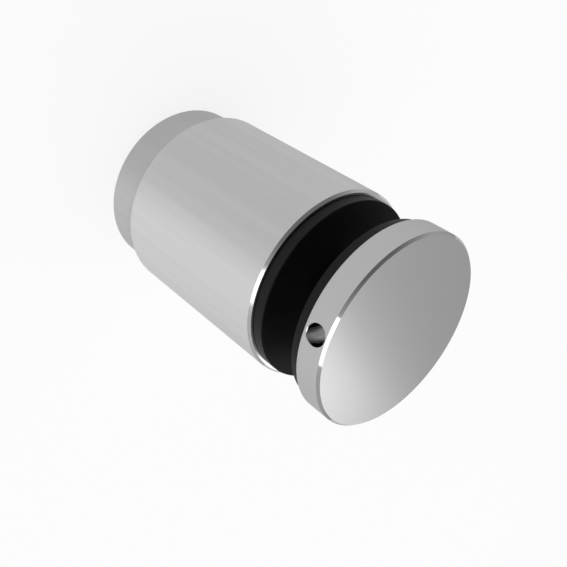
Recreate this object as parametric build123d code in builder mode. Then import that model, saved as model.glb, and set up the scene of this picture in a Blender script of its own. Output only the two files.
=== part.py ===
from build123d import *
import os
from math import isclose, radians, tan

# Point fixing that holds a glass pane off a wall, with a wall distance that screws in and out.
# Its axis is Z, the wall is at Z = 0 and the cap is on top. Sizes are in millimetres.
# Threads are plain cylinders at their nominal diameter.

# Sizes seen from outside
outer_diameter = 50.0  # cap and sleeve
cap_thickness = 7.0
sleeve_length = 50.0
base_showing = 12.0  # smooth base left between the wall and the sleeve
glass_gap = 10.0
gasket_thickness = 3.0
gasket_inset = 1.25  # how far the gaskets' rims lie inside the cap's rim
face_chamfer = 0.6  # front rims of the cap and the sleeve
edge_break = 0.25  # rims that face the wall
gasket_chamfer = 0.2
mouth_angle = 90.0  # countersinks of the holes that are drilled from the side

# Tightening hole in the cap's rim, for a round bar
grip_diameter = 5.1
grip_depth = 11.0
grip_mouth = 0.15  # width of its countersink, which only takes the burr off
drill_point_angle = 118.0

# Screw between the base and the sleeve that sets the wall distance
adjust_thread = 30.0
adjust_travel = 11.25  # from the distance built here down to the shortest
adjust_engaged = 11.25  # thread length in use at the distance built here
end_room = 0.5  # left before anything bottoms out
base_hidden = 2.0  # smooth base that is inside the sleeve's skirt
skirt_wall = 1.8
skirt_clearance = 0.2
relief_width = 2.0  # runout groove between the base's flange and its thread
relief_depth = 1.2
thread_lead = 1.0  # chamfer that starts a large thread
thread_clearance = 0.05  # radial, on every thread

# Wall screw inside the base
screw_hole = 11.0
screw_head_well = 21.0
base_floor = 6.0

# Stud that pulls the cap against the glass
stud_diameter = 10.0
stud_lead = 0.8
stud_overhang = 1.25  # stud showing behind the sleeve's web
stud_socket = 5.0
stud_socket_depth = 5.0
stud_clearance = 0.3  # radial, in what only slips over the stud
cap_skin = 2.4  # metal in front of the cap's blind thread
cap_end_room = 0.1
bush_diameter = 18.0
bush_chamfer = 0.4

# Locking screw in the sleeve's side
lock_thread = 6.0
lock_recess = 1.7  # below the sleeve's surface
lock_backoff = 0.3  # off the base's thread, so that the sleeve can turn
lock_socket = 3.0
lock_socket_depth = 3.5
lock_cup_diameter = 3.0
lock_lead = 0.6
lock_mouth = 0.35  # width of the countersink that starts its thread

# Radii that the sizes above give
outer_radius = outer_diameter / 2
gasket_radius = outer_radius - gasket_inset
skirt_radius = outer_radius - skirt_wall
base_radius = skirt_radius - skirt_clearance
boss_radius = adjust_thread / 2
relief_radius = boss_radius - relief_depth
sleeve_bore_radius = boss_radius + thread_clearance
stud_radius = stud_diameter / 2
stud_bore_radius = stud_radius + thread_clearance
slip_radius = stud_radius + stud_clearance
grip_radius = grip_diameter / 2
lock_radius = lock_thread / 2
lock_bore_radius = lock_radius + thread_clearance
lock_inner_end = boss_radius + lock_backoff
lock_outer_end = outer_radius - lock_recess

# Heights along the axis, from the wall to the cap's front
sleeve_rear = base_showing
flange_top = base_showing + base_hidden
skirt_bottom = flange_top + adjust_travel + end_room
boss_tip = skirt_bottom + adjust_engaged
web_rear = boss_tip + adjust_travel + end_room
sleeve_front = sleeve_rear + sleeve_length
glass_rear = sleeve_front + gasket_thickness
glass_front = glass_rear + glass_gap
cap_rear = glass_front + gasket_thickness
cap_front = cap_rear + cap_thickness
grip_height = cap_rear + cap_thickness / 2
lock_height = (skirt_bottom + boss_tip) / 2
stud_front = cap_front - cap_skin - cap_end_room
stud_rear = web_rear - stud_overhang


def rims(part, height, radius):
    """The circular edges about the axis at this height and of this radius."""

    def is_rim(edge):
        centre = edge.arc_center
        on_axis = isclose(centre.X, 0, abs_tol=1e-4) and isclose(centre.Y, 0, abs_tol=1e-4)
        level = isclose(centre.Z, height, abs_tol=1e-4)
        return on_axis and level and isclose(edge.radius, radius, abs_tol=1e-4)

    return part.edges().filter_by(GeomType.CIRCLE).filter_by(is_rim)


def drill_point(radius):
    """Length of the cone that a drill of this radius leaves at the end of its hole."""
    return radius / tan(radians(drill_point_angle / 2))


# Wall base: a smooth flange that carries the threaded boss, with a stepped hole for the wall
# screw. The runout groove lets the sleeve's thread come down to the flange.
with BuildPart() as wall_base:
    with BuildSketch(Plane.XZ):
        with BuildLine():
            Polyline(
                (screw_hole / 2, 0),
                (base_radius, 0),
                (base_radius, flange_top),
                (relief_radius, flange_top),
                (relief_radius, flange_top + relief_width),
                (boss_radius, flange_top + relief_width + relief_depth),
                (boss_radius, boss_tip),
                (screw_head_well / 2, boss_tip),
                (screw_head_well / 2, base_floor),
                (screw_hole / 2, base_floor),
                close=True,
            )
        make_face()
    revolve(axis=Axis.Z)
    chamfer(rims(wall_base, 0, base_radius), edge_break)
    chamfer(rims(wall_base, 0, screw_hole / 2), edge_break)
    chamfer(rims(wall_base, flange_top, base_radius), edge_break)
    chamfer(rims(wall_base, boss_tip, boss_radius), thread_lead)
wall_base.part.label = "wall_base"

# Sleeve: a closed-ended tube. Its skirt slides down over the flange, its large thread runs on
# the boss, and the web across its front end holds the stud's thread.
lock_plane = Plane(origin=(0, outer_radius, lock_height), x_dir=(1, 0, 0), z_dir=(0, 1, 0))
with BuildPart() as body_sleeve:
    with BuildSketch(Plane.XZ):
        with BuildLine():
            Polyline(
                (skirt_radius, sleeve_rear),
                (outer_radius, sleeve_rear),
                (outer_radius, sleeve_front),
                (stud_bore_radius, sleeve_front),
                (stud_bore_radius, web_rear),
                (sleeve_bore_radius, web_rear),
                (sleeve_bore_radius, skirt_bottom),
                (skirt_radius, skirt_bottom),
                close=True,
            )
        make_face()
    revolve(axis=Axis.Z)
    chamfer(rims(body_sleeve, sleeve_front, outer_radius), face_chamfer)
    chamfer(rims(body_sleeve, sleeve_rear, outer_radius), edge_break)
    chamfer(rims(body_sleeve, sleeve_rear, skirt_radius), edge_break)
    chamfer(rims(body_sleeve, skirt_bottom, sleeve_bore_radius), thread_lead)
    chamfer(rims(body_sleeve, sleeve_front, stud_bore_radius), stud_lead)
    with Locations(lock_plane):
        CounterSinkHole(
            radius=lock_bore_radius,
            counter_sink_radius=lock_bore_radius + lock_mouth,
            depth=outer_radius,
            counter_sink_angle=mouth_angle,
        )
body_sleeve.part.label = "body_sleeve"

# Locking screw: a headless screw with a hexagon socket and a cup point, square to the axis
lock_length = lock_outer_end - lock_inner_end
with BuildPart() as locking_screw:
    with BuildSketch(lock_plane.offset(-lock_recess)):
        Circle(lock_radius)
    extrude(amount=-lock_length)
    chamfer(locking_screw.edges().filter_by(GeomType.CIRCLE), lock_lead)
    with BuildSketch(lock_plane.offset(-lock_recess)):
        RegularPolygon(radius=lock_socket / 2, side_count=6, major_radius=False)
    extrude(amount=-lock_socket_depth, mode=Mode.SUBTRACT)
    cup_depth = drill_point(lock_cup_diameter / 2)
    with Locations(lock_plane.offset(-lock_recess - lock_length)):
        Cone(
            bottom_radius=lock_cup_diameter / 2,
            top_radius=0,
            height=cup_depth,
            align=(Align.CENTER, Align.CENTER, Align.MIN),
            mode=Mode.SUBTRACT,
        )
locking_screw.part.label = "locking_screw"

# Rear gasket: the rubber washer between the sleeve's front face and the pane
with BuildPart() as rear_gasket:
    with BuildSketch(Plane.XY.offset(sleeve_front)):
        Circle(gasket_radius)
        Circle(slip_radius, mode=Mode.SUBTRACT)
    extrude(amount=gasket_thickness)
    chamfer(rims(rear_gasket, sleeve_front, gasket_radius), gasket_chamfer)
    chamfer(rims(rear_gasket, glass_rear, gasket_radius), gasket_chamfer)
rear_gasket.part.label = "rear_gasket"

# Glass bush: the plastic collar that keeps the stud off the edge of the hole in the pane
with BuildPart() as glass_bush:
    with BuildSketch(Plane.XY.offset(glass_rear)):
        Circle(bush_diameter / 2)
        Circle(slip_radius, mode=Mode.SUBTRACT)
    extrude(amount=glass_gap)
    chamfer(rims(glass_bush, glass_rear, bush_diameter / 2), bush_chamfer)
    chamfer(rims(glass_bush, glass_front, bush_diameter / 2), bush_chamfer)
glass_bush.part.label = "glass_bush"

# Front gasket: the washer between the pane and the cap
with BuildPart() as front_gasket:
    with BuildSketch(Plane.XY.offset(glass_front)):
        Circle(gasket_radius)
        Circle(slip_radius, mode=Mode.SUBTRACT)
    extrude(amount=gasket_thickness)
    chamfer(rims(front_gasket, glass_front, gasket_radius), gasket_chamfer)
    chamfer(rims(front_gasket, cap_rear, gasket_radius), gasket_chamfer)
front_gasket.part.label = "front_gasket"

# Clamp stud: fixed in the cap and screwed into the sleeve's web, with its socket at the rear
with BuildPart() as clamp_stud:
    with BuildSketch(Plane.XY.offset(stud_rear)):
        Circle(stud_radius)
    extrude(amount=stud_front - stud_rear)
    chamfer(clamp_stud.edges().filter_by(GeomType.CIRCLE), stud_lead)
    with BuildSketch(Plane.XY.offset(stud_rear)):
        RegularPolygon(radius=stud_socket / 2, side_count=6, major_radius=False)
    extrude(amount=stud_socket_depth, mode=Mode.SUBTRACT)
clamp_stud.part.label = "clamp_stud"

# Front cap: a turned disc with a blind thread behind and one drilled hole in its rim, where a
# round bar turns it tight
grip_plane = Plane(origin=(0, -outer_radius, grip_height), x_dir=(1, 0, 0), z_dir=(0, -1, 0))
with BuildPart() as front_cap:
    with BuildSketch(Plane.XY.offset(cap_rear)):
        Circle(outer_radius)
        Circle(stud_bore_radius, mode=Mode.SUBTRACT)
    extrude(amount=cap_thickness)
    with BuildSketch(Plane.XY.offset(cap_front)):
        Circle(stud_bore_radius)
    extrude(amount=-cap_skin)
    chamfer(rims(front_cap, cap_front, outer_radius), face_chamfer)
    chamfer(rims(front_cap, cap_rear, outer_radius), edge_break)
    chamfer(rims(front_cap, cap_rear, stud_bore_radius), edge_break)
    with Locations(grip_plane):
        CounterSinkHole(
            radius=grip_radius,
            counter_sink_radius=grip_radius + grip_mouth,
            depth=grip_depth,
            counter_sink_angle=mouth_angle,
        )
    with Locations(grip_plane.offset(-grip_depth)):
        Cone(
            bottom_radius=0,
            top_radius=grip_radius,
            height=drill_point(grip_radius),
            align=(Align.CENTER, Align.CENTER, Align.MAX),
            mode=Mode.SUBTRACT,
        )
front_cap.part.label = "front_cap"

os.makedirs("parts", exist_ok=True)
export_step(wall_base.part, "parts/wall_base.step")
export_step(body_sleeve.part, "parts/body_sleeve.step")
export_step(locking_screw.part, "parts/locking_screw.step")
export_step(rear_gasket.part, "parts/rear_gasket.step")
export_step(glass_bush.part, "parts/glass_bush.step")
export_step(front_gasket.part, "parts/front_gasket.step")
export_step(clamp_stud.part, "parts/clamp_stud.step")
export_step(front_cap.part, "parts/front_cap.step")
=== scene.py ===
from math import cos, pi, radians, sin, tan, tau

import bmesh
import bpy
from mathutils import Euler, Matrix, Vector


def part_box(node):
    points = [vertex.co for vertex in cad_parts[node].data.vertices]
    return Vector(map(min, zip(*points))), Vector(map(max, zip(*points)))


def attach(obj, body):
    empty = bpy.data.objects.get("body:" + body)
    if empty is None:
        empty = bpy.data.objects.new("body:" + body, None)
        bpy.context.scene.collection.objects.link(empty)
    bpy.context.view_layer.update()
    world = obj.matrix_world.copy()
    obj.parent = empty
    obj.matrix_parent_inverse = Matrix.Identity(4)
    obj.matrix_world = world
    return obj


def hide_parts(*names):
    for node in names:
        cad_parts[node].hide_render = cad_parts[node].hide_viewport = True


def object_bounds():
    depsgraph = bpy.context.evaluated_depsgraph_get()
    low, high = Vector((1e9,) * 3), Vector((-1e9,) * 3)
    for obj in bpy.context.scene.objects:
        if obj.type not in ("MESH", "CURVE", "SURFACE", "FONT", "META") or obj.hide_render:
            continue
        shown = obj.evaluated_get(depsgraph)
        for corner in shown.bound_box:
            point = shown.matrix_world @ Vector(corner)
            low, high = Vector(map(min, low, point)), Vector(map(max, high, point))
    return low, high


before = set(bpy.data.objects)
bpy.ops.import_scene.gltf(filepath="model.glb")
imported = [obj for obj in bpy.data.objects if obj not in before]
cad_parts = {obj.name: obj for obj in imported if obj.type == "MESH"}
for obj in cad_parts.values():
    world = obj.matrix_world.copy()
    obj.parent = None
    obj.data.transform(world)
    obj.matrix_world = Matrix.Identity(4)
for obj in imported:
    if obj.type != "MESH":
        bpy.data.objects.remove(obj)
cad_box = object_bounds()

MM = 0.001

# Camera: where the photograph was taken from, in the part's own frame
CAMERA_PLACE = Vector((-61.98, -143.13, 167.98)) * MM
CAMERA_TURN = Euler([radians(a) for a in (-37.449, -40.570, 114.054)])
CAMERA_LENS = 49.35  # mm
CAMERA_SENSOR = 36.0  # mm wide

# Studio: a grey room with a light and a dark side, and a floor whose look is mostly plain white
ROOM_DARK_SIDE = 209  # azimuth in degrees
ROOM_LIGHT = 0.5
ROOM_DARK = 0.166
ROOM_FADE = (0.188, 0.585)  # cosines of the angle to the dark side between which the grey darkens
FLOOR_HALF = 6.0
FLOOR_COLOUR = 0.98
FLOOR_PLAIN_SHARE = 0.84
LAMP_DISTANCE = 1.5

# Noise and radius in node trees
NOISE_RANGE = (0.3, 0.7)  # where nearly all values of a noise texture lie
AXIS_GUARD = 1e-10  # square metres, keeps the radius above zero on the axis

# Fine rings that lathe and brush leave in the steel
MARK_FINENESS = 25000.0  # noise units per metre, across the rings
MARK_LENGTH = 3.0  # noise units per radian, along the rings
MARK_DEPTH = 0.0002 * MM  # of the bump that they make
MARK_SHADE = 0.004  # by how much the rings vary the colour, either way
MARK_ROUGH = 0.01  # by how much they vary the roughness, either way

# Painted reflection streaks along the sides: the colour is lighter and darker in streaks that stand in for
# reflections stretched along the axis
STREAK_COUNT = 11.0  # noise units per radian, about the axis
STREAK_DRIFT = 10.0  # noise units per metre, along the axis
STREAK_START = 251.6  # a place in the noise field, which decides where the streaks lie
STREAK_DETAIL = 2.0
STREAK_SOFTNESS = 0.5

# How far a surface faces along the axis: 0 for the sides, 0.7 for chamfers, 1 for faces
SIDE_TO_FACE = (0.4, 0.9)
CHAMFER = (0.5, 0.9)
BAND_EDGE = 0.06
BRUSHED_ALONG_RINGS = 0.25  # turn of the anisotropy against the tangent, in full turns

# The cap's drilled hole
DRILLED_ROUGH = 0.08
# lighter than the cap: partly bright cut steel, partly painted light that lifts the shade inside the hole
DRILLED_BRIGHT_AND_PAINTED_LIGHT = 0.84
DRILL_FEED = 0.6 * MM  # from one ring of the drill to the next
DRILL_DEPTH = 0.014 * MM  # of the drill's rings
DRILL_PATCH = 250.0  # scale of the noise that makes the rings swerve and the wall uneven
DRILL_SWERVE = 0.5 * MM
DRILL_DENTS = 0.08 * MM
GRIP_BELOW = 0.4 * MM  # how far the hole's zone stays away from the cap's rear face,
GRIP_ABOVE = 0.7 * MM  # from its front face
GRIP_INSIDE = 0.2 * MM  # and from its rim
GRIP_EDGE = 0.05 * MM  # how softly the zone ends

# Rubber and nylon
RIM_TO_FACE = (0.2, 0.8)  # how far a surface faces along the axis, from the washers' rims to their faces
RUBBER_SPECULAR = 0.12
RUBBER_GRAIN = 2600.0  # scale of the moulded grain
RUBBER_GRAIN_DEPTH = 0.02 * MM
RUBBER_CLOUD = 90.0  # scale of the slow change in its colour
RUBBER_SHADE = (0.9, 1.15)  # factors between which it goes
RUBBER_ROUGH_SWING = 0.08
NYLON_DARK = (0.80, 0.79, 0.75, 1.0)
NYLON_LIGHT = (0.86, 0.85, 0.82, 1.0)
NYLON_ROUGH = (0.38, 0.5)
NYLON_CLOUD = 160.0  # scale of the slow change in its colour
NYLON_GRAIN = 1800.0
NYLON_GRAIN_DEPTH = 0.01 * MM

# Screw threads that the CAD model leaves as plain cylinders
STUD_PITCH = 1.5 * MM
STUD_LEAD = 0.8 * MM  # chamfer at both ends
STUD_SOCKET = 5.0 * MM  # across flats
STUD_SOCKET_DEPTH = 5.0 * MM
LOCK_PITCH = 1.0 * MM
LOCK_BORE = 3.05 * MM  # radius of the locking screw's hole
LOCK_MOUTH = 0.35 * MM  # width of its countersink
THREAD_ROOT = 0.6134  # depth of a metric outer thread, in pitches
THREAD_NUT = 0.5413  # depth of a metric inner thread, in pitches
THREAD_FLAT = 0.125  # width of a crest, in pitches
HAIR = 0.05 * MM  # smallest space left between two pieces
AROUND = 72  # mesh steps in one turn of a thread
ALONG_STUD = 12  # mesh steps in one pitch
ALONG_HOLE = 24  # mesh steps in the whole hole
HEXAGON = 6
WELD = 1e-7  # vertices closer than this become one
LEVEL = 1e-8  # heights closer than this are the same
SHARP_EDGE = radians(25)


# Node trees


def new_material(name):
    """An empty material with its output and one Principled shader."""
    material = bpy.data.materials.new(name)
    material.use_nodes = True
    tree = material.node_tree
    tree.nodes.clear()
    output = tree.nodes.new("ShaderNodeOutputMaterial")
    shader = tree.nodes.new("ShaderNodeBsdfPrincipled")
    tree.links.new(shader.outputs["BSDF"], output.inputs["Surface"])
    return material, tree, shader


def math_node(tree, operation, a, b=None):
    node = tree.nodes.new("ShaderNodeMath")
    node.operation = operation
    for socket, value in zip(node.inputs, (a, b)):
        if isinstance(value, (int, float)):
            socket.default_value = value
        elif value is not None:
            tree.links.new(value, socket)
    return node.outputs[0]


def times(tree, a, b):
    return math_node(tree, "MULTIPLY", a, b)


def plus(tree, a, b):
    return math_node(tree, "ADD", a, b)


def spread(tree, value, low, high, source=NOISE_RANGE):
    """Maps a value from its own range to low .. high."""
    node = tree.nodes.new("ShaderNodeMapRange")
    node.inputs["From Min"].default_value, node.inputs["From Max"].default_value = source
    for name, end in (("To Min", low), ("To Max", high)):
        if isinstance(end, (int, float)):
            node.inputs[name].default_value = end
        else:
            tree.links.new(end, node.inputs[name])
    tree.links.new(value, node.inputs["Value"])
    return node.outputs["Result"]


def blend(tree, share, outside, within):
    """The one value where the share is 0, the other where it is 1."""
    return spread(tree, share, outside, within, (0.0, 1.0))


def vary(tree, pattern, value, swing):
    """Multiplies a value by a noise pattern that swings this much about 1."""
    return times(tree, value, spread(tree, pattern, 1 - swing, 1 + swing))


def coordinates(tree, kind="Object"):
    return tree.nodes.new("ShaderNodeTexCoord").outputs[kind]


def split(tree, vector):
    node = tree.nodes.new("ShaderNodeSeparateXYZ")
    tree.links.new(vector, node.inputs[0])
    return node.outputs


def join(tree, *values):
    node = tree.nodes.new("ShaderNodeCombineXYZ")
    for socket, value in zip(node.inputs, values):
        tree.links.new(value, socket)
    return node.outputs[0]


def noise(tree, vector, scale=1.0, detail=3.0, roughness=0.6, w=None):
    node = tree.nodes.new("ShaderNodeTexNoise")
    node.inputs["Scale"].default_value = scale
    node.inputs["Detail"].default_value = detail
    node.inputs["Roughness"].default_value = roughness
    tree.links.new(vector, node.inputs["Vector"])
    if w is not None:
        node.noise_dimensions = "4D"
        tree.links.new(w, node.inputs["W"])
    return node.outputs["Fac"]


def grey(tree, value):
    node = tree.nodes.new("ShaderNodeCombineColor")
    for socket in node.inputs:
        tree.links.new(value, socket)
    return node.outputs[0]


def bump(tree, shader, height, depth, strength=1.0):
    node = tree.nodes.new("ShaderNodeBump")
    node.inputs["Strength"].default_value = strength
    node.inputs["Distance"].default_value = depth
    tree.links.new(height, node.inputs["Height"])
    tree.links.new(node.outputs["Normal"], shader.inputs["Normal"])


def radius_about_axis(tree):
    """Distance of a surface point from the part's axis, with its X, Y and Z."""
    x, y, z = split(tree, coordinates(tree))
    square = plus(tree, times(tree, x, x), times(tree, y, y))
    return math_node(tree, "SQRT", plus(tree, square, AXIS_GUARD)), x, y, z


def direction_about_axis(tree, x, y, radius, scale):
    """Two noise coordinates that change only around the axis."""
    return [times(tree, math_node(tree, "DIVIDE", value, radius), scale) for value in (x, y)]


def lathe_marks(tree):
    """Noise in fine rings about the Z axis, on faces and sides alike."""
    radius, x, y, z = radius_about_axis(tree)
    around = direction_about_axis(tree, x, y, radius, MARK_LENGTH)
    ring = join(tree, *around, times(tree, radius, MARK_FINENESS))
    return noise(tree, ring, w=times(tree, z, MARK_FINENESS))


def painted_reflection_streaks(tree):
    """Broad soft streaks of painted reflection in the steel's colour, running along the Z axis."""
    radius, x, y, z = radius_about_axis(tree)
    around = direction_about_axis(tree, x, y, radius, STREAK_COUNT)
    along = plus(tree, times(tree, z, STREAK_DRIFT), STREAK_START)
    return noise(tree, join(tree, *around, along), detail=STREAK_DETAIL, roughness=STREAK_SOFTNESS)


def slope(tree):
    """How far a surface faces along the Z axis, either way: 0 on the sides, 1 on the faces."""
    return math_node(tree, "ABSOLUTE", split(tree, coordinates(tree, "Normal"))[2])


def band(tree, value, low, high, edge):
    """1 where the value lies between low and high, 0 elsewhere, with soft edges."""
    rise = spread(tree, value, 0.0, 1.0, (low - edge, low + edge))
    fall = spread(tree, value, 1.0, 0.0, (high - edge, high + edge))
    return times(tree, rise, fall)


# Materials


def drilled_wall(tree, along):
    """Height of a drilled hole's wall in mark depths: swerving rings on an uneven wall."""
    patches = noise(tree, coordinates(tree), scale=DRILL_PATCH, detail=1.0)
    swerved = plus(tree, along, times(tree, patches, DRILL_SWERVE))
    rings = math_node(tree, "SINE", times(tree, swerved, tau / DRILL_FEED))
    rings = times(tree, rings, DRILL_DEPTH / MARK_DEPTH)
    return plus(tree, rings, times(tree, patches, DRILL_DENTS / MARK_DEPTH))


def turned_steel(
    name, colour, side_rough, face_rough, cut_rough, anisotropy, edge_tint=1.0, streaks=0.0, drilled=None
):
    """Satin stainless steel: ring marks of lathe and brush, and chamfers left bright by the tool.

    The three roughness values are those of the sides, of the flat faces and of the chamfers.
    The drilled zone, given as its lowest and highest Z and its radius, has a drill's rings and a lighter
    colour, partly bright cut steel and partly painted light in the shaded hole.
    """
    material, tree, shader = new_material(name)
    shader.inputs["Metallic"].default_value = 1.0
    shader.inputs["Anisotropic"].default_value = anisotropy
    shader.inputs["Anisotropic Rotation"].default_value = BRUSHED_ALONG_RINGS
    shader.inputs["Specular Tint"].default_value = (edge_tint, edge_tint, edge_tint, 1.0)
    tangent = tree.nodes.new("ShaderNodeTangent")
    tangent.direction_type = "RADIAL"
    tangent.axis = "Z"
    tree.links.new(tangent.outputs[0], shader.inputs["Tangent"])
    facing = slope(tree)
    brushed = spread(tree, facing, side_rough, face_rough, SIDE_TO_FACE)
    rough = blend(tree, band(tree, facing, *CHAMFER, BAND_EDGE), brushed, cut_rough)
    marks = lathe_marks(tree)
    shade = spread(tree, marks, colour * (1 - MARK_SHADE), colour * (1 + MARK_SHADE))
    # painted reflection: the streaks lighten and darken the colour where stretched reflections would lie
    if streaks:
        shade = vary(tree, painted_reflection_streaks(tree), shade, streaks)
    height = marks
    if drilled:
        low, high, reach = drilled
        radius, _, y, z = radius_about_axis(tree)
        inside = times(tree, math_node(tree, "LESS_THAN", radius, reach), band(tree, z, low, high, GRIP_EDGE))
        rough = blend(tree, inside, rough, DRILLED_ROUGH)
        # painted light: the lighter colour inside the hole also stands in for light that the hole's shade
        # keeps out
        shade = blend(tree, inside, shade, DRILLED_BRIGHT_AND_PAINTED_LIGHT)
        height = plus(tree, marks, times(tree, inside, drilled_wall(tree, y)))
    tree.links.new(vary(tree, marks, rough, MARK_ROUGH), shader.inputs["Roughness"])
    tree.links.new(grey(tree, shade), shader.inputs["Base Color"])
    bump(tree, shader, height, MARK_DEPTH)
    return material


def rubber(name, face_colour_with_painted_shade, rim_colour, roughness):
    """Black washer rubber with a fine moulded grain, its cut rim a little greyer than its faces; the faces'
    darker colour is partly the rubber's own tone and partly painted shade for the gap between the parts.
    """
    material, tree, shader = new_material(name)
    shader.inputs["Specular IOR Level"].default_value = RUBBER_SPECULAR
    place = coordinates(tree)
    grain = noise(tree, place, scale=RUBBER_GRAIN, detail=4.0)
    cloud = noise(tree, place, scale=RUBBER_CLOUD, detail=2.0)
    # faces darker than rims: partly the rubber's own tone, partly painted shade where the faces lie in the
    # gap between the parts
    tone = spread(tree, slope(tree), rim_colour, face_colour_with_painted_shade, RIM_TO_FACE)
    shade = times(tree, tone, spread(tree, cloud, *RUBBER_SHADE))
    tree.links.new(grey(tree, shade), shader.inputs["Base Color"])
    rough = spread(tree, grain, roughness - RUBBER_ROUGH_SWING, roughness + RUBBER_ROUGH_SWING)
    tree.links.new(rough, shader.inputs["Roughness"])
    bump(tree, shader, grain, RUBBER_GRAIN_DEPTH, strength=0.6)
    return material


def nylon(name):
    """Natural white nylon, slightly waxy."""
    material, tree, shader = new_material(name)
    place = coordinates(tree)
    cloud = noise(tree, place, scale=NYLON_CLOUD, detail=2.0)
    ramp = tree.nodes.new("ShaderNodeMix")
    ramp.data_type = "RGBA"
    ramp.inputs["A"].default_value = NYLON_DARK
    ramp.inputs["B"].default_value = NYLON_LIGHT
    tree.links.new(cloud, ramp.inputs["Factor"])
    tree.links.new(ramp.outputs["Result"], shader.inputs["Base Color"])
    tree.links.new(spread(tree, cloud, *NYLON_ROUGH), shader.inputs["Roughness"])
    shader.inputs["Subsurface Weight"].default_value = 0.15
    shader.inputs["Subsurface Scale"].default_value = 1.5 * MM
    bump(tree, shader, noise(tree, place, scale=NYLON_GRAIN), NYLON_GRAIN_DEPTH, strength=0.5)
    return material


def dress(node, material):
    """Puts a material in every slot of a CAD node."""
    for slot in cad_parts[node].material_slots:
        slot.material = material


cap_low, cap_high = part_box("front_cap")
grip_zone = (cap_low.z + GRIP_BELOW, cap_high.z - GRIP_ABOVE, cap_high.x - GRIP_INSIDE)
side_steel = turned_steel(
    "side_steel",
    colour=0.768,
    side_rough=0.446,
    face_rough=0.14,
    cut_rough=0.092,
    anisotropy=0.92,
    edge_tint=0.522,
    streaks=0.025,
)
cap_steel = turned_steel(
    "cap_steel",
    colour=0.614,
    side_rough=0.595,
    face_rough=0.245,
    cut_rough=0.07,
    anisotropy=0.0,
    edge_tint=0.624,
    drilled=grip_zone,
)
# the base's steel is coloured darker than the sleeve's as painted shade, for the part's shadow on the floor
# that its sides reflect
base_steel = turned_steel(
    "base_steel",
    colour=0.611,
    side_rough=0.41,
    face_rough=0.3,
    cut_rough=0.12,
    anisotropy=0.92,
    edge_tint=0.522,
    streaks=0.02,
)
screw_steel = turned_steel(
    "screw_steel", colour=0.55, side_rough=0.3, face_rough=0.3, cut_rough=0.2, anisotropy=0.0
)
black_rubber = rubber("black_rubber", face_colour_with_painted_shade=0.001, rim_colour=0.016, roughness=0.5)
white_nylon = nylon("white_nylon")

dress("front_cap", cap_steel)
dress("body_sleeve", side_steel)
dress("wall_base", base_steel)
dress("locking_screw", screw_steel)
dress("front_gasket", black_rubber)
dress("rear_gasket", black_rubber)
dress("glass_bush", white_nylon)


# Screw threads


def thread_depth(phase):
    """How far a metric thread lies below its crest at this phase of a turn, from 0 to 1."""
    away = abs((phase + 0.5) % 1.0 - 0.5)
    flank = (away - THREAD_FLAT / 2) / (0.5 - THREAD_FLAT)
    return min(max(flank, 0.0), 1.0)


def finish_mesh(name, builder, material):
    """Turns a bmesh into an object with smooth flanks and crisp edges."""
    bmesh.ops.remove_doubles(builder, verts=builder.verts, dist=WELD)
    bmesh.ops.recalc_face_normals(builder, faces=builder.faces)
    mesh = bpy.data.meshes.new(name)
    builder.to_mesh(mesh)
    builder.free()
    mesh.shade_smooth()
    mesh.set_sharp_from_angle(angle=SHARP_EDGE)
    mesh.materials.append(material)
    piece = bpy.data.objects.new(name, mesh)
    bpy.context.scene.collection.objects.link(piece)
    return piece


def open_rim(builder, z):
    """The edges at this height that have a face on one side only."""
    return [e for e in builder.edges if e.is_boundary and all(abs(v.co.z - z) < LEVEL for v in e.verts)]


def close_with_socket(builder, z):
    """Closes the end at this height round a hexagon socket that goes up into the screw."""
    rim = open_rim(builder, z)
    corner = STUD_SOCKET / 2 / cos(pi / HEXAGON)
    turns = [tau * k / HEXAGON for k in range(HEXAGON)]
    mouth = [builder.verts.new((corner * cos(turn), corner * sin(turn), z)) for turn in turns]
    floor = [builder.verts.new(v.co + Vector((0, 0, STUD_SOCKET_DEPTH))) for v in mouth]
    ring = [builder.edges.new((mouth[k], mouth[k - 1])) for k in range(HEXAGON)]
    bmesh.ops.triangle_fill(builder, edges=rim + ring, use_beauty=True)
    for k in range(HEXAGON):
        builder.faces.new((mouth[k], mouth[k - 1], floor[k - 1], floor[k]))
    builder.faces.new(floor)


def threaded_stud():
    """The cap's headless screw with its thread cut, in the CAD stud's place."""
    low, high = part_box("clamp_stud")
    crest = (high.x - low.x) / 2
    depth = THREAD_ROOT * STUD_PITCH
    turns = int((high.z - low.z) / STUD_PITCH) + 3  # with spare turns that flatten at both ends

    def point(step, j):
        turn = j / AROUND
        z = low.z + STUD_PITCH * (step / ALONG_STUD + turn - 1)
        z = min(max(z, low.z), high.z)
        phase = (z - low.z) / STUD_PITCH - turn
        end = min(z - low.z, high.z - z)
        radius = min(crest - depth * thread_depth(phase), crest - STUD_LEAD + end)
        return (radius * cos(tau * turn), radius * sin(tau * turn), z)

    builder = bmesh.new()
    rows = [
        [builder.verts.new(point(step, j)) for j in range(AROUND + 1)]
        for step in range(ALONG_STUD * turns)
    ]
    for lower, upper in zip(rows, rows[1:]):
        for j in range(AROUND):
            builder.faces.new((lower[j], lower[j + 1], upper[j + 1], upper[j]))
    bmesh.ops.remove_doubles(builder, verts=builder.verts, dist=WELD)
    bmesh.ops.dissolve_degenerate(builder, edges=builder.edges, dist=WELD)
    close_with_socket(builder, low.z)
    bmesh.ops.triangle_fill(builder, edges=open_rim(builder, high.z), use_beauty=True)
    return finish_mesh("stud_with_thread", builder, screw_steel)


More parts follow.
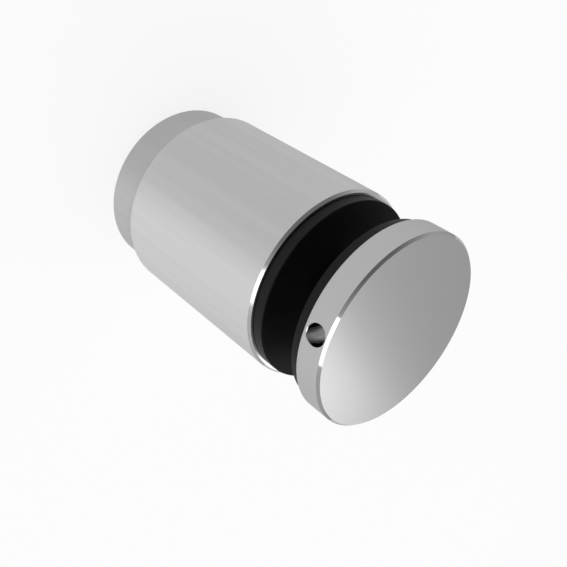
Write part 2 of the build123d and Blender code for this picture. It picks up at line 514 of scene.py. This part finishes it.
def lock_hole_thread():
    """The turns of thread that show in the locking screw's hole, between the screw and the mouth."""
    screw_low, screw_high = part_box("locking_screw")
    height = (screw_low.z + screw_high.z) / 2
    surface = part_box("body_sleeve")[1].y
    inner_end, outer_end = screw_high.y + HAIR, surface - LOCK_MOUTH
    root = LOCK_BORE - HAIR / 2
    depth = THREAD_NUT * LOCK_PITCH

    def ring_point(radius, turn, y):
        return (radius * sin(tau * turn), y, height + radius * cos(tau * turn))

    def point(step, j):
        turn = j / AROUND
        y = inner_end + (outer_end - inner_end) * step / ALONG_HOLE
        cut = thread_depth((y - inner_end) / LOCK_PITCH - turn)
        countersink = LOCK_BORE + LOCK_MOUTH - (surface - y)
        radius = min(max(root - depth * (1 - cut), countersink), root)
        return ring_point(radius, turn, y)

    builder = bmesh.new()
    rows = [[builder.verts.new(point(step, j)) for j in range(AROUND)] for step in range(ALONG_HOLE + 1)]
    for y in (outer_end, inner_end):
        back = [ring_point(LOCK_BORE + HAIR, j / AROUND, y) for j in range(AROUND)]
        rows.append([builder.verts.new(place) for place in back])
    for lower, upper in zip(rows, rows[1:] + rows[:1]):
        for j in range(AROUND):
            builder.faces.new((lower[j - 1], lower[j], upper[j], upper[j - 1]))
    return finish_mesh("lock_hole_thread", builder, side_steel)


stud = threaded_stud()
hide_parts("clamp_stud")
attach(stud, "cap")

mouth_thread = lock_hole_thread()
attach(mouth_thread, "sleeve")


# Stage, light and camera


def white_floor():
    """A large floor that looks white to the camera and in the steel, and keeps the part's shadow."""
    builder = bmesh.new()
    bmesh.ops.create_grid(builder, x_segments=1, y_segments=1, size=FLOOR_HALF)
    mesh = bpy.data.meshes.new("floor")
    builder.to_mesh(mesh)
    builder.free()
    floor = bpy.data.objects.new("floor", mesh)
    bpy.context.scene.collection.objects.link(floor)
    material, tree, shader = new_material("white_floor")
    shader.inputs["Base Color"].default_value = (FLOOR_COLOUR, FLOOR_COLOUR, FLOOR_COLOUR, 1.0)
    shader.inputs["Roughness"].default_value = 0.9
    shader.inputs["Specular IOR Level"].default_value = 0.1
    plain = tree.nodes.new("ShaderNodeEmission")
    rays = tree.nodes.new("ShaderNodeLightPath").outputs
    seen = math_node(tree, "MAXIMUM", rays["Is Camera Ray"], rays["Is Glossy Ray"])
    seen = math_node(tree, "MAXIMUM", seen, rays["Is Transmission Ray"])
    mix = tree.nodes.new("ShaderNodeMixShader")
    tree.links.new(times(tree, seen, FLOOR_PLAIN_SHARE), mix.inputs[0])
    tree.links.new(shader.outputs["BSDF"], mix.inputs[1])
    tree.links.new(plain.outputs[0], mix.inputs[2])
    output = next(n for n in tree.nodes if n.type == "OUTPUT_MATERIAL")
    tree.links.new(mix.outputs[0], output.inputs["Surface"])
    mesh.materials.append(material)


def direction(azimuth, elevation):
    """The unit vector that points this way from the part, in degrees."""
    azimuth, elevation = radians(azimuth), radians(elevation)
    return Vector((cos(azimuth) * cos(elevation), sin(azimuth) * cos(elevation), sin(elevation)))


def softbox(name, azimuth, elevation, width, height, level):
    """A rectangular lamp that looks at the part.

    Its width and height are given in degrees, as the part sees them. The level is the grey that it shows.
    """
    data = bpy.data.lights.new(name, "AREA")
    data.shape = "RECTANGLE"
    data.size = 2 * LAMP_DISTANCE * tan(radians(width / 2))
    data.size_y = 2 * LAMP_DISTANCE * tan(radians(height / 2))
    data.energy = level * pi * data.size * data.size_y
    lamp = bpy.data.objects.new(name, data)
    bpy.context.scene.collection.objects.link(lamp)
    away = direction(azimuth, elevation)
    middle = (cad_box[0] + cad_box[1]) / 2
    lamp.location = middle + away * LAMP_DISTANCE
    lamp.rotation_euler = away.to_track_quat("Z", "Y").to_euler()


def studio_room():
    """A grey room, light on one side and dark on the other."""
    world = bpy.data.worlds.new("room")
    world.use_nodes = True
    tree = world.node_tree
    towards = tree.nodes.new("ShaderNodeVectorMath")
    towards.operation = "DOT_PRODUCT"
    towards.inputs[1].default_value = direction(ROOM_DARK_SIDE, 0)
    tree.links.new(coordinates(tree, "Generated"), towards.inputs[0])
    side = spread(tree, towards.outputs["Value"], ROOM_LIGHT, ROOM_DARK, ROOM_FADE)
    tree.links.new(grey(tree, side), tree.nodes["Background"].inputs["Color"])
    bpy.context.scene.world = world


def photo_camera():
    data = bpy.data.cameras.new("camera")
    data.lens = CAMERA_LENS
    data.sensor_width = CAMERA_SENSOR
    data.clip_start = 0.005
    data.clip_end = 50.0
    camera = bpy.data.objects.new("camera", data)
    bpy.context.scene.collection.objects.link(camera)
    camera.location = CAMERA_PLACE
    camera.rotation_euler = CAMERA_TURN
    bpy.context.scene.camera = camera


white_floor()
studio_room()
softbox("top_lamp", azimuth=29, elevation=83, width=79, height=39, level=0.68)
softbox("key_lamp", azimuth=-34.8, elevation=53.7, width=60.5, height=27.5, level=1.44)
softbox("side_lamp", azimuth=38.8, elevation=46.1, width=39.7, height=33.6, level=1.15)
photo_camera()
bpy.context.scene.view_settings.view_transform = "Standard"
